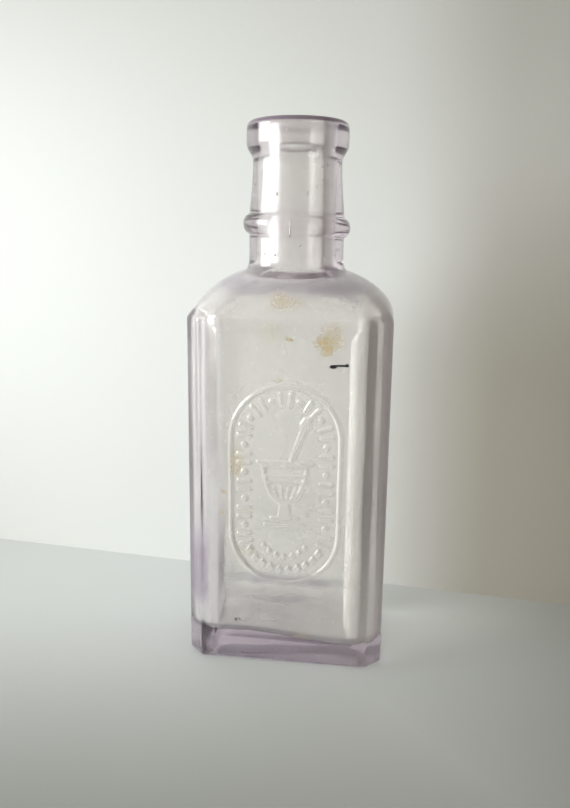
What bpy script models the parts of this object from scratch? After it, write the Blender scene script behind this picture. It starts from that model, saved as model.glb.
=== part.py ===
"""A small flat druggist's bottle of thick clear glass, standing empty and without a stopper.

The bottle is three solids of glass that the maker joined hot, kept a hair apart here so that
each stays a solid of its own: the blown vessel, the ring round the neck, and the lip laid
round the sheared top of the neck. Units are metres, +Z is up, and the origin is the middle of
the flat base, with the sunk front panel towards -Y.
"""

import math

import bmesh
import bpy
from mathutils import Vector

# Driving dimensions, in metres.
HEIGHT = 0.130  # base to the top of the lip
WIDTH = 0.0482  # across the front
DEPTH = 0.0337  # front to back
CORNER_CUT = 0.0035  # how much of each side an upright corner's flat takes
HEEL_RADIUS = 0.0012  # rounding where the sides meet the base

SHOULDER_Z = 0.0846  # where the upright sides end
SHOULDER_STEEP = 0.0027  # how far the shoulder keeps rising steeply before it turns in
SHOULDER_EASE = 0.0107  # how far out of the neck the shoulder runs nearly straight
SHOULDER_SLOPE = math.radians(19.6)  # slope of the shoulder where it meets the neck
NECK_FOOT_Z = 0.0959
NECK_FOOT_RADIUS = 0.0114  # the same up to the ring
NECK_TOP_RADIUS = 0.0104  # the neck narrows from the ring to its sheared top
NECK_FILLET = 0.0010

PANEL_WIDTH = 0.0342  # mouth of the sunk front panel
PANEL_BOTTOM_Z = 0.0061
PANEL_TOP_Z = 0.0832
PANEL_SIDE_BEVEL = 0.0025  # width of its sloping border at the sides and the top
PANEL_FOOT_BEVEL = 0.0045  # width of its sloping border at the foot
PANEL_SINK = 0.0011

WALL = 0.0028  # thickness of the blown wall
BASE_THICKNESS = 0.0049
INSIDE_CORNER = 0.0045  # the inside is blown, so its corners are rounder
INSIDE_HEEL = 0.0035
BORE_RADIUS = 0.0062
MOUTH_RADIUS = 0.0068

RING_Z = 0.1062
RING_RADIUS = 0.01295  # outside
RING_HALF_HEIGHT = 0.0022
RING_TILT = math.radians(2.0)  # laid on by hand, so its -X side sits a little high

LIP_RADIUS = 0.0121
LIP_FOOT_Z = 0.1219
LIP_SIDE_Z = 0.1236  # top of the slope under the lip
LIP_CROWN = 0.0014  # rounding of the lip's top edge
LIP_COVER = 0.0036  # glass of the lip above the sheared end of the neck

GAP = 0.0003  # between neighbouring solids
FRONT_STEPS = 8
SIDE_STEPS = 6
CORNER_STEPS = 3
RING_POINTS = 2 * (FRONT_STEPS + SIDE_STEPS) + 4 * CORNER_STEPS

GLASS_COLOUR = (0.86, 0.84, 0.88, 1.0)  # clear, with a trace of amethyst


def clear_scene():
    """Remove whatever the scene holds."""
    for thing in list(bpy.data.objects):
        bpy.data.objects.remove(thing, do_unlink=True)


def glass_material(name):
    """Polished clear glass with a faint amethyst tint."""
    material = bpy.data.materials.new(name)
    material.use_nodes = True
    shader = material.node_tree.nodes["Principled BSDF"]
    shader.inputs["Base Color"].default_value = GLASS_COLOUR
    shader.inputs["Roughness"].default_value = 0.04
    shader.inputs["Metallic"].default_value = 0.0
    shader.inputs["IOR"].default_value = 1.52
    shader.inputs["Transmission Weight"].default_value = 1.0
    return material


def lerp(start, end, share):
    """The value that lies at a share of the way from start to end."""
    return start + (end - start) * share


def cut_corner_rectangle(half_x, half_y, corner):
    """Points of a rectangle whose corners are cut at 45 degrees, anticlockwise from the front left."""
    corners = [
        Vector((-half_x + corner, -half_y)),
        Vector((half_x - corner, -half_y)),
        Vector((half_x, -half_y + corner)),
        Vector((half_x, half_y - corner)),
        Vector((half_x - corner, half_y)),
        Vector((-half_x + corner, half_y)),
        Vector((-half_x, half_y - corner)),
        Vector((-half_x, -half_y + corner)),
    ]
    steps = [FRONT_STEPS, CORNER_STEPS, SIDE_STEPS, CORNER_STEPS] * 2
    points = []
    for index, count in enumerate(steps):
        start = corners[index]
        end = corners[(index + 1) % len(corners)]
        points += [start.lerp(end, step / count) for step in range(count)]
    return points


def level_ring(z, half_x, half_y, corner, roundness):
    """One level of the vessel: a cut-corner rectangle that turns into an ellipse as roundness
    goes from 0 to 1. Each point slides towards the ellipse's point in its own direction."""
    ring = []
    for point in cut_corner_rectangle(half_x, half_y, corner):
        direction = Vector((point.x / half_x, point.y / half_y)).normalized()
        on_ellipse = Vector((direction.x * half_x, direction.y * half_y))
        place = point.lerp(on_ellipse, roundness)
        ring.append(Vector((place.x, place.y, z)))
    return ring


def shoulder_curve(share, start_x, inset):
    """Half width and height along the shoulder: a cubic curve that leaves the upright side
    straight up and reaches the neck at the shoulder's slope. Inset moves it inwards."""
    slope = Vector((math.cos(SHOULDER_SLOPE), -math.sin(SHOULDER_SLOPE)))
    normal = Vector((math.sin(SHOULDER_SLOPE), math.cos(SHOULDER_SLOPE)))
    side = Vector((start_x, SHOULDER_Z))
    neck = Vector((NECK_FOOT_RADIUS + NECK_FILLET, NECK_FOOT_Z)) - normal * inset
    steep = side + Vector((0.0, SHOULDER_STEEP))
    ease = neck + slope * SHOULDER_EASE
    rest = 1.0 - share
    return side * rest**3 + steep * 3 * rest**2 * share + ease * 3 * rest * share**2 + neck * share**3


def shoulder_rings(half_x, half_y, corner, inset, count):
    """Levels of the shoulder, above the top of the upright sides."""
    rings = []
    neck_x = shoulder_curve(1.0, half_x, inset).x
    for step in range(1, count + 1):
        place = shoulder_curve(step / count, half_x, inset)
        reach = (place.x - neck_x) / (half_x - neck_x)
        turn = step / count
        roundness = turn * turn * (3.0 - 2.0 * turn)
        rings.append(level_ring(place.y, place.x, lerp(neck_x, half_y, reach), corner, roundness))
    return rings


def round_ring(z, radius):
    """A round level of the neck, with a point for each point of the levels below it."""
    return level_ring(z, radius, radius, radius * CORNER_CUT / (WIDTH / 2), 1.0)


def outside_rings():
    """The vessel's outside, from the flat base to the sheared top of the neck."""
    half_x = WIDTH / 2
    half_y = DEPTH / 2
    rings = []
    for step in range(4):
        angle = math.pi / 2 * step / 3
        inset = HEEL_RADIUS * (1.0 - math.sin(angle))
        height = HEEL_RADIUS * (1.0 - math.cos(angle))
        rings.append(level_ring(height, half_x - inset, half_y - inset, CORNER_CUT, 0.0))
    rings.append(level_ring(SHOULDER_Z, half_x, half_y, CORNER_CUT, 0.0))
    rings += shoulder_rings(half_x, half_y, CORNER_CUT, 0.0, 9)
    rings.append(round_ring(NECK_FOOT_Z + NECK_FILLET, NECK_FOOT_RADIUS))
    rings.append(round_ring(RING_Z, NECK_FOOT_RADIUS))
    rings.append(round_ring(neck_top_z(), NECK_TOP_RADIUS))
    return rings


def inside_rings():
    """The vessel's inside, from the top of the bore down to the floor of the bottle."""
    half_x = WIDTH / 2 - WALL
    half_y = DEPTH / 2 - WALL
    rings = [round_ring(neck_top_z(), BORE_RADIUS), round_ring(NECK_FOOT_Z, BORE_RADIUS)]
    rings += reversed(inside_shoulder_rings(half_x, half_y, 8))
    rings.append(level_ring(SHOULDER_Z - WALL, half_x, half_y, INSIDE_CORNER, 0.0))
    for step in range(5):
        angle = math.pi / 2 * step / 4
        inset = INSIDE_HEEL * (1.0 - math.cos(angle))
        height = BASE_THICKNESS + INSIDE_HEEL * (1.0 - math.sin(angle))
        rings.append(level_ring(height, half_x - inset, half_y - inset, INSIDE_CORNER - inset / 2, 0.0))
    return rings


def inside_shoulder_rings(half_x, half_y, count):
    """Levels of the inside of the shoulder: the same curve, a wall's thickness further in, drawn
    from the upright wall to the foot of the bore."""
    rings = []
    drop = WALL * 0.9
    for step in range(1, count + 1):
        turn = step / count
        place = shoulder_curve(turn, half_x, drop)
        reach = (place.x - NECK_FOOT_RADIUS) / (half_x - NECK_FOOT_RADIUS)
        reach = max(reach, 0.0)
        share = 1.0 - reach
        bore_share = share**2 * (3.0 - 2.0 * share)
        width = lerp(place.x, BORE_RADIUS + WALL / 2, bore_share * turn)
        depth = lerp(BORE_RADIUS + WALL / 2, half_y, reach)
        height = place.y - WALL * (1.0 - turn)
        rings.append(level_ring(height, width, depth, INSIDE_CORNER, turn**2 * (3.0 - 2.0 * turn)))
    return rings


def neck_top_z():
    """Height at which the neck was sheared off, just under the glass of the lip."""
    return HEIGHT - LIP_COVER - GAP


def object_from_bmesh(name, shape, material):
    """A named object in the scene that holds the finished mesh."""
    mesh = bpy.data.meshes.new(name)
    shape.to_mesh(mesh)
    shape.free()
    mesh.shade_smooth()
    mesh.set_sharp_from_angle(angle=math.radians(35.0))
    thing = bpy.data.objects.new(name, mesh)
    thing.data.materials.append(material)
    bpy.context.scene.collection.objects.link(thing)
    return thing


def shell_from_rings(rings):
    """A closed shell: each ring is joined to the next, and the first and last are filled."""
    shape = bmesh.new()
    loops = [[shape.verts.new(point) for point in ring] for ring in rings]
    for lower, upper in zip(loops, loops[1:]):
        for index in range(RING_POINTS):
            after = (index + 1) % RING_POINTS
            shape.faces.new((lower[index], lower[after], upper[after], upper[index]))
    shape.faces.new(list(reversed(loops[0])))
    shape.faces.new(loops[-1])
    bmesh.ops.recalc_face_normals(shape, faces=shape.faces)
    return shape


def panel_cutter():
    """The wedge-sided block that sinks the front panel: wide at the face, narrower at its floor."""
    face_y = -DEPTH / 2
    proud = 0.002
    slope_side = PANEL_SIDE_BEVEL / PANEL_SINK * proud
    slope_foot = PANEL_FOOT_BEVEL / PANEL_SINK * proud
    half = PANEL_WIDTH / 2
    mouth = [
        Vector((-half - slope_side, face_y - proud, PANEL_BOTTOM_Z - slope_foot)),
        Vector((half + slope_side, face_y - proud, PANEL_BOTTOM_Z - slope_foot)),
        Vector((half + slope_side, face_y - proud, PANEL_TOP_Z + slope_side)),
        Vector((-half - slope_side, face_y - proud, PANEL_TOP_Z + slope_side)),
    ]
    inner = half - PANEL_SIDE_BEVEL
    floor = [
        Vector((-inner, face_y + PANEL_SINK, PANEL_BOTTOM_Z + PANEL_FOOT_BEVEL)),
        Vector((inner, face_y + PANEL_SINK, PANEL_BOTTOM_Z + PANEL_FOOT_BEVEL)),
        Vector((inner, face_y + PANEL_SINK, PANEL_TOP_Z - PANEL_SIDE_BEVEL)),
        Vector((-inner, face_y + PANEL_SINK, PANEL_TOP_Z - PANEL_SIDE_BEVEL)),
    ]
    shape = bmesh.new()
    near = [shape.verts.new(point) for point in mouth]
    far = [shape.verts.new(point) for point in floor]
    shape.faces.new(near)
    shape.faces.new(list(reversed(far)))
    for index in range(4):
        after = (index + 1) % 4
        shape.faces.new((near[index], near[after], far[after], far[index]))
    bmesh.ops.recalc_face_normals(shape, faces=shape.faces)
    cutter = object_from_bmesh("panel_cutter", shape, glass_material("cutter"))
    cutter.hide_render = True
    cutter.display_type = "WIRE"
    return cutter


def add_vessel():
    """The blown bottle: one wall of glass that is open only at the top of the neck."""
    shape = shell_from_rings(outside_rings() + inside_rings())
    vessel = object_from_bmesh("vessel", shape, glass_material("vessel_glass"))
    sink = vessel.modifiers.new("sink front panel", "BOOLEAN")
    sink.operation = "DIFFERENCE"
    sink.solver = "EXACT"
    sink.object = panel_cutter()
    return vessel


def turned(name, profile, material):
    """A ring of glass: a closed outline of (radius, height) points turned about the Z axis."""
    shape = bmesh.new()
    verts = [shape.verts.new((radius, 0.0, height)) for radius, height in profile]
    edges = [shape.edges.new((verts[i - 1], verts[i])) for i in range(len(verts))]
    bmesh.ops.spin(
        shape,
        geom=verts + edges,
        axis=(0.0, 0.0, 1.0),
        cent=(0.0, 0.0, 0.0),
        angle=2.0 * math.pi,
        steps=RING_POINTS,
        use_merge=True,
    )
    bmesh.ops.remove_doubles(shape, verts=shape.verts, dist=1e-6)
    bmesh.ops.recalc_face_normals(shape, faces=shape.faces)
    return object_from_bmesh(name, shape, material)


def neck_radius(z):
    """Outside radius of the neck at a height on or above the ring."""
    return lerp(NECK_FOOT_RADIUS, NECK_TOP_RADIUS, (z - RING_Z) / (neck_top_z() - RING_Z))


def add_neck_ring():
    """The half-round ring that stands out from the middle of the neck, a little out of level."""
    bore = neck_radius(RING_Z) + GAP + 0.0001
    profile = [(bore, -RING_HALF_HEIGHT), (bore, RING_HALF_HEIGHT)]
    steps = 6
    for step in range(1, steps):
        angle = math.pi / 2 - math.pi * step / steps
        profile.append((bore + (RING_RADIUS - bore) * math.cos(angle), RING_HALF_HEIGHT * math.sin(angle)))
    ring = turned("neck_ring", profile, glass_material("ring_glass"))
    ring.location = (0.0, 0.0, RING_Z)
    ring.rotation_euler = (0.0, RING_TILT, 0.0)
    return ring


def add_lip():
    """The lip: a collar round the end of the neck that also covers the sheared glass."""
    sleeve = neck_radius(LIP_FOOT_Z) + GAP
    sleeve_top = neck_top_z() + GAP
    profile = [
        (sleeve, sleeve_top),
        (sleeve, LIP_FOOT_Z),
        (LIP_RADIUS - 0.0003, LIP_SIDE_Z - 0.0004),
        (LIP_RADIUS, LIP_SIDE_Z),
    ]
    crown_steps = 4
    for step in range(crown_steps + 1):
        angle = math.pi / 2 * step / crown_steps
        radius = LIP_RADIUS - LIP_CROWN * (1.0 - math.cos(angle))
        profile.append((radius, HEIGHT - LIP_CROWN * (1.0 - math.sin(angle))))
    profile += [
        (MOUTH_RADIUS + 0.0012, HEIGHT),
        (MOUTH_RADIUS, HEIGHT - 0.0008),
        (BORE_RADIUS, sleeve_top),
    ]
    return turned("lip", profile, glass_material("lip_glass"))


def build_bottle():
    clear_scene()
    add_vessel()
    add_neck_ring()
    add_lip()


build_bottle()
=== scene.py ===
# %% [markdown]
# # A small druggist's bottle of clear glass
#
# This lesson builds one empty glass bottle over a plain CAD model of it. The CAD model already
# has the true sizes, so the main measures are read from its boxes. What is added here is what
# makes glass look like glass: one smooth wall with an outside and an inside, raised ornament,
# soft edges, uneven blowing, and a material that bends and tints light.

# %% Load the frame
import math

import bpy
import numpy as np
from mathutils import Matrix, Vector


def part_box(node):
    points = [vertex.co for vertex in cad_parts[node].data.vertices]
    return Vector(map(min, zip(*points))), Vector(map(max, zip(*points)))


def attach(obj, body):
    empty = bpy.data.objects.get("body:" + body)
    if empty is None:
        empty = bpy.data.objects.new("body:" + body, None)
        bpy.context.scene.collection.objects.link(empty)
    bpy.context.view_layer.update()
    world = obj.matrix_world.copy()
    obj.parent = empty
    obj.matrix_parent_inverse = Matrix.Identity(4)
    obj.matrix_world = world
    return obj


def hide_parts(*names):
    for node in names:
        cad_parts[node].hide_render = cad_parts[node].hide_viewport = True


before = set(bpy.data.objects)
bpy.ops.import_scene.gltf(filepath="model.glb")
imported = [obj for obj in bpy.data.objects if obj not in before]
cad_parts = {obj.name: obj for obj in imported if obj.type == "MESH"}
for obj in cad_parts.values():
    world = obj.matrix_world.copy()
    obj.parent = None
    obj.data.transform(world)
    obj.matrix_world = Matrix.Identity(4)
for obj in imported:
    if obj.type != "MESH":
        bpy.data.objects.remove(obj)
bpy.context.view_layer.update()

# %% [markdown]
# ## The camera
#
# A camera is placed the way a person would: where it stands, how far it turns to the side, and
# how much it looks down. It stands close, a little above the shoulders, so the shoulders look
# wider than the base. Turning a matrix step by step keeps each of those numbers readable.

# %% Place the camera
MM = 0.001
CAMERA_SPOT = (22.8 * MM, -190.0 * MM, 103.7 * MM)
CAMERA_TURN = math.radians(7.53)  # round the upright axis, from the right
CAMERA_DIP = math.radians(12.21)  # looking down
CAMERA_ROLL = math.radians(0.72)
LENS = 34.5  # millimetres
FILM_WIDTH = 36.0  # millimetres

camera_data = bpy.data.cameras.new("camera")
camera_data.lens = LENS
camera_data.sensor_width = FILM_WIDTH
camera_data.clip_start = 0.01
camera_data.clip_end = 20.0
camera = bpy.data.objects.new("camera", camera_data)
bpy.context.scene.collection.objects.link(camera)
camera.matrix_world = (
    Matrix.Translation(CAMERA_SPOT)
    @ Matrix.Rotation(CAMERA_TURN, 4, "Z")
    @ Matrix.Rotation(math.pi / 2 - CAMERA_DIP, 4, "X")
    @ Matrix.Rotation(CAMERA_ROLL, 4, "Z")
)
bpy.context.scene.camera = camera
print("camera stands", round(math.hypot(*CAMERA_SPOT[:2]) / MM), "mm from the bottle's axis")

# %% [markdown]
# ## Sizes taken from the frame
#
# The CAD model keeps the vessel, the neck ring and the lip as three solids. Their boxes give the
# width, depth and height, and where the ring and the lip sit. Real glass is one wall, so the
# surface below runs over all three of them.

# %% Read the sizes
vessel_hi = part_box("vessel")[1]
ring_lo, ring_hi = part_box("neck_ring")
lip_lo, lip_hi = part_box("lip")
HALF_WIDTH = vessel_hi[0]
HALF_DEPTH = vessel_hi[1]
HEIGHT = lip_hi[2]
RING_Z = (ring_lo[2] + ring_hi[2]) / 2
RING_RADIUS = ring_hi[1]
LIP_RADIUS = lip_hi[1]
LIP_FOOT_Z = lip_lo[2]
print("half width, half depth, height:", [round(v / MM, 2) for v in (HALF_WIDTH, HALF_DEPTH, HEIGHT)])

# %% [markdown]
# ## Columns round the bottle
#
# The wall is a grid. Its columns run from the base to the mouth and its rows run round the
# bottle. Seen from above, the body is a rectangle with its corners cut at 45 degrees and every
# edge softened by a small arc. So a column lies on a straight run between two corners of an
# octagon or on one of the eight small arcs. Knowing its corners and its share of the way lets
# one function draw every row, however wide.


# %% Spread points between marks
def spread(marks, counts):
    """Points from the first mark to the last: between each two marks, so many equal steps."""
    pieces = [np.linspace(a, b, n, endpoint=False) for a, b, n in zip(marks, marks[1:], counts)]
    return np.concatenate([*pieces, [marks[-1]]])


# %% Lay out the columns
CORNER_CUT = 3.5 * MM
EDGE_RADIUS = 1.5 * MM
PANEL_MOUTH = 17.1 * MM  # half width of the sunk panel at the face of the bottle
PANEL_FLOOR = 14.6 * MM  # half width of its flat floor
ORNAMENT_HALF = 13.9 * MM
ORNAMENT_STEP = 0.30 * MM
ARC_STEPS = 4  # steps round each small arc
ARC_TAN = math.sqrt(2.0) - 1.0  # tangent of half of 45 degrees


def straight_run(corner_a, corner_b, shares):
    """Columns on the straight run between two corners: corner, next corner, share, side angle."""
    angle = math.radians(-90.0 + 45.0 * corner_a)
    return [(corner_a, corner_b, share, angle) for share in shares]


def corner_arc(corner, steps):
    """Columns inside the small arc at a corner: the angle turns by 45 degrees."""
    start = math.radians(-135.0 + 45.0 * corner)
    return [(corner, corner, 0.0, start + math.radians(45.0) * k / steps) for k in range(1, steps)]


# %% Count the columns of each side
front_half = HALF_WIDTH - CORNER_CUT - ARC_TAN * EDGE_RADIUS
soft = 0.35 * MM  # half the width of the softened edge of a bevel
right_marks = [ORNAMENT_HALF, PANEL_FLOOR - soft, PANEL_FLOOR + soft, PANEL_MOUTH - soft,
               PANEL_MOUTH + soft, front_half]
right_counts = [2, 3, 3, 3, 4]
ornament_steps = int(round(2 * ORNAMENT_HALF / ORNAMENT_STEP))
front_x = spread(
    [-m for m in reversed(right_marks)] + right_marks,
    right_counts[::-1] + [ornament_steps] + right_counts,
)
front_shares = (front_x + front_half) / (2 * front_half)

columns = []
runs = {1: 3, 2: 7, 3: 3, 4: 16, 5: 3, 6: 7, 7: 3}  # steps along each other side
for side in range(8):
    shares = front_shares if side == 0 else np.linspace(0.0, 1.0, runs[side] + 1)
    columns += straight_run(side, (side + 1) % 8, shares)
    columns += corner_arc((side + 1) % 8, ARC_STEPS)
column = {
    "from": np.array([c[0] for c in columns]),
    "to": np.array([c[1] for c in columns]),
    "share": np.array([c[2] for c in columns]),
    "angle": np.array([c[3] for c in columns]),
}
ON_FRONT = (column["from"] == 0) & (column["to"] == 1)
print("columns round the bottle:", len(columns), "of them on the front:", int(ON_FRONT.sum()))


# %% [markdown]
# ## One row of the wall
#
# Low down a row is the softened octagon. On the shoulder it turns into a circle. To blend the
# two, each point looks out in its own direction, finds the ellipse of the row's width and depth
# there, and slides towards it by the row's roundness.


# %% Draw rows
def rows_in_plan(half_x, half_y, cut, edge, roundness):
    """Plan of many rows at once, as arrays of rows by columns.

    A corner of the octagon, moved in by the edge radius, plus that radius in the direction of
    the column's side, gives the softened octagon. The ellipse point is the same direction,
    scaled to the row's half width and half depth. The row's point is the first plus roundness
    times the way to the second."""
    half_x, half_y, cut, edge, roundness = (
        np.broadcast_to(np.asarray(v, float), np.shape(half_x))[:, None]
        for v in (half_x, half_y, cut, edge, roundness)
    )
    long_x = half_x - cut - ARC_TAN * edge
    long_y = half_y - cut - ARC_TAN * edge
    short_x = half_x - edge
    short_y = half_y - edge
    corner_x = np.hstack([-long_x, long_x, short_x, short_x, long_x, -long_x, -short_x, -short_x])
    corner_y = np.hstack([-short_y, -short_y, -long_y, long_y, short_y, short_y, long_y, -long_y])
    share = column["share"][None, :]
    x = corner_x[:, column["from"]] * (1 - share) + corner_x[:, column["to"]] * share
    y = corner_y[:, column["from"]] * (1 - share) + corner_y[:, column["to"]] * share
    x = x + edge * np.cos(column["angle"])[None, :]
    y = y + edge * np.sin(column["angle"])[None, :]
    length = np.hypot(x / half_x, y / half_y)
    round_x = x / length
    round_y = y / length
    return x + (round_x - x) * roundness, y + (round_y - y) * roundness


def smooth_step(value):
    """Rises from 0 to 1 with level ends: three times the square less twice the cube."""
    value = np.clip(value, 0.0, 1.0)
    return value * value * (3.0 - 2.0 * value)


# %% [markdown]
# ## The outline seen from the front
#
# Going up: a base that rises a little in the middle, so the bottle stands on its rim, a small
# rounding at the heel, the upright side, the shoulder as one cubic curve, then the round neck
# with its ring and its lip. Each stretch is a list of heights and half widths, joined end to
# end. The neck's outline is softened, because a tool on hot glass leaves no sharp corner.

# %% Outside stretches
SHOULDER_Z = 84.6 * MM
SHOULDER_RISE = 2.7 * MM  # how far the curve holds to the side
SHOULDER_EASE = 10.7 * MM  # how far it holds to the slope
SHOULDER_SLOPE = math.radians(19.6)
NECK_FOOT_Z = 95.9 * MM
NECK_RADIUS = 11.4 * MM
NECK_TOP_RADIUS = 10.55 * MM
NECK_FILLET = 1.0 * MM
FOOT_SWEEP = 2.2 * MM  # how high the fillet at the foot of the neck runs up
RING_HALF_HEIGHT = 2.25 * MM
LIP_SLOPE = 1.9 * MM  # height of the slope under the lip
LIP_CROWN = 1.5 * MM  # radius of its upper edge
HEEL = 1.2 * MM
BASE_RISE = 0.35 * MM
BASE_ROWS = 8


def shoulder_curve(share):
    """Cubic curve of half width and height: straight up out of the side, and into the neck at
    the shoulder's slope. The two middle points of the curve lie along those two directions."""
    neck = np.array([NECK_RADIUS + NECK_FILLET, NECK_FOOT_Z])
    side = np.array([HALF_WIDTH, SHOULDER_Z])
    steep = side + np.array([0.0, SHOULDER_RISE])
    ease = neck + SHOULDER_EASE * np.array([math.cos(SHOULDER_SLOPE), -math.sin(SHOULDER_SLOPE)])
    s = share[:, None]
    r = 1.0 - s
    return r**3 * side + 3 * r**2 * s * steep + 3 * r * s**2 * ease + s**3 * neck


def softened(values, times):
    """Each value becomes half itself and a quarter of each neighbour, so many times over."""
    for _ in range(times):
        values = np.concatenate([
            values[:1], 0.25 * values[:-2] + 0.5 * values[1:-1] + 0.25 * values[2:], values[-1:]
        ])
    return values


def neck_profile():
    """Heights and radii from the foot of the neck to the top of the lip.

    The neck is plain up to the ring and narrows above it. The ring adds half an ellipse. The
    lip slopes out, stands upright and rolls over its top edge as a quarter circle. Gaps of a
    few tenths of a millimetre keep the rows of neighbouring stretches apart."""
    foot = np.linspace(0.0, math.pi / 2, 10)[1:]
    fillet_z = NECK_FOOT_Z + FOOT_SWEEP * (1 - np.cos(foot)) + 0.1 * MM
    fillet_r = NECK_RADIUS + NECK_FILLET * (1 - np.sin(foot))
    low_z = np.linspace(fillet_z[-1] + 0.5 * MM, RING_Z - RING_HALF_HEIGHT - 0.2 * MM, 16)
    low_r = np.full_like(low_z, NECK_RADIUS)
    turn = np.linspace(-math.pi / 2, math.pi / 2, 17)
    ring_z = RING_Z + RING_HALF_HEIGHT * np.sin(turn)
    ring_r = NECK_RADIUS + (RING_RADIUS - NECK_RADIUS) * np.cos(turn)
    high_z = np.linspace(RING_Z + RING_HALF_HEIGHT + 0.2 * MM, LIP_FOOT_Z - 0.2 * MM, 34)
    taper = np.sin(math.pi / 2 * (high_z - high_z[0]) / (high_z[-1] - high_z[0]))
    high_r = NECK_RADIUS + (NECK_TOP_RADIUS - NECK_RADIUS) * taper
    slope_z = LIP_FOOT_Z + np.linspace(0.1 * MM, LIP_SLOPE, 8)
    slope_r = np.linspace(NECK_TOP_RADIUS + 0.25 * MM, LIP_RADIUS - 0.2 * MM, 8)
    side_z = np.linspace(LIP_FOOT_Z + LIP_SLOPE + 0.4 * MM, HEIGHT - LIP_CROWN, 12)
    side_r = np.full_like(side_z, LIP_RADIUS)
    roll = np.linspace(0.0, math.pi / 2, 9)[1:]
    crown_z = HEIGHT - LIP_CROWN * (1 - np.sin(roll))
    crown_r = LIP_RADIUS - LIP_CROWN * (1 - np.cos(roll))
    z = np.concatenate([fillet_z, low_z, ring_z, high_z, slope_z, side_z, crown_z])
    r = np.concatenate([fillet_r, low_r, ring_r, high_r, slope_r, side_r, crown_r])
    return z, softened(r, 5)


# %% Set the heights of the rows
ORNAMENT_LOW = 20.0 * MM
ORNAMENT_HIGH = 71.2 * MM
PANEL_LOW = (6.1 * MM, 10.6 * MM)  # foot of the sunk panel: at the face, and at its floor
PANEL_HIGH = (80.7 * MM, 83.2 * MM)  # head of the panel: at its floor, and at the face

base_share = np.linspace(0.0, 1.0, BASE_ROWS + 1)[1:]
heel_turn = np.linspace(0.0, math.pi / 2, 6)[1:]
ornament_rows = int(round((ORNAMENT_HIGH - ORNAMENT_LOW) / ORNAMENT_STEP))
body_z = spread(
    [HEEL + 0.6 * MM, PANEL_LOW[0] - soft, PANEL_LOW[0] + soft, PANEL_LOW[1] - soft,
     PANEL_LOW[1] + soft, ORNAMENT_LOW, ORNAMENT_HIGH, PANEL_HIGH[0] - soft,
     PANEL_HIGH[0] + soft, PANEL_HIGH[1] - soft, PANEL_HIGH[1] + soft, SHOULDER_Z],
    [4, 3, 4, 3, 10, ornament_rows, 10, 3, 4, 3, 2],
)
shoulder_share = np.linspace(0.0, 1.0, 29)[1:]
shoulder = shoulder_curve(shoulder_share)
neck_z, neck_r = neck_profile()
neck_x = shoulder[-1, 0]
print("rows up the body, the shoulder and the neck:", body_z.size, len(shoulder), neck_z.size)

# %% Join the outside
flat_x = (HALF_WIDTH - HEEL) * base_share
flat_y = (HALF_DEPTH - HEEL) * base_share
heel_x = HALF_WIDTH - HEEL * (1 - np.sin(heel_turn))
heel_y = HALF_DEPTH - HEEL * (1 - np.sin(heel_turn))
shoulder_y = neck_x + (HALF_DEPTH - neck_x) * (shoulder[:, 0] - neck_x) / (HALF_WIDTH - neck_x)
out_x = np.concatenate([flat_x, heel_x, np.full(body_z.size, HALF_WIDTH), shoulder[:, 0], neck_r])
out_y = np.concatenate([flat_y, heel_y, np.full(body_z.size, HALF_DEPTH), shoulder_y, neck_r])
out_z = np.concatenate([
    BASE_RISE * (1 - base_share**2),
    HEEL * (1 - np.cos(heel_turn)),
    body_z,
    shoulder[:, 1],
    neck_z,
])
out_round = np.concatenate([
    np.zeros(BASE_ROWS + heel_turn.size + body_z.size),
    smooth_step(shoulder_share),
    np.ones(neck_z.size),
])

# %% Soften the corners over the shoulder
SHOULDER_CUT_GROWTH = 1.5 * MM
SHOULDER_EDGE_GROWTH = 6.0 * MM

shoulder_rows = slice(BASE_ROWS + heel_turn.size + body_z.size, -neck_z.size)
shoulder_soft = np.zeros(out_z.size)
shoulder_soft[shoulder_rows] = smooth_step(shoulder_share / 0.45)
shoulder_soft[-neck_z.size:] = 1.0
shrink = np.minimum(1.0, out_y / (HALF_DEPTH - HEEL))
out_cut = (CORNER_CUT + SHOULDER_CUT_GROWTH * shoulder_soft) * shrink
out_edge = (EDGE_RADIUS + SHOULDER_EDGE_GROWTH * shoulder_soft) * shrink
outside_x, outside_y = rows_in_plan(out_x, out_y, out_cut, out_edge, out_round)
outside_z = np.broadcast_to(out_z[:, None], outside_x.shape).copy()
print("rows on the outside:", out_z.size)

# %% [markdown]
# ## The ring sits a little crooked
#
# A ring laid on by hand is never quite level. Leaning it is a shear: points near the ring go up
# on one side and down on the other, and the lean fades out a few millimetres away from it.

# %% Lean the ring
RING_LEAN = math.tan(math.radians(2.0))
LEAN_FULL = 2.6 * MM  # the whole lean, up to this far from the ring
LEAN_FADE = 4.0 * MM  # and then it fades over this height
near_ring = 1.0 - smooth_step((np.abs(outside_z - RING_Z) - LEAN_FULL) / LEAN_FADE)
outside_z -= RING_LEAN * outside_x * near_ring
print("the ring's ends are", round(2 * RING_LEAN * RING_RADIUS / MM, 2), "mm apart in height")

# %% [markdown]
# ## The sunk front panel and its raised ornament
#
# The front is a height field: each point moves in by the depth of the panel, and out again by
# the height of the ornament. The panel's border is a ramp in x and a ramp in z, and the lower of
# the two wins, which makes the mitred corners by itself.
#
# The ornament is generic: a long ring, a druggist's mortar and pestle, and bars, beads and small
# lozenges that follow the ring. Each is described by its signed distance, the distance to its
# edge, negative inside. Distances are easy to combine: the smallest of several is their union,
# and a soft step of the distance gives the rounded shape that glass takes in a mould.

# %% Distances to simple shapes
PANEL_SINK = 1.1 * MM


def to_stadium(x, z, half_width, low, high):
    """Distance to an upright stadium: distance to its middle line less its half width."""
    middle = np.clip(z, low + half_width, high - half_width)
    return np.hypot(x, z - middle) - half_width


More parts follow.
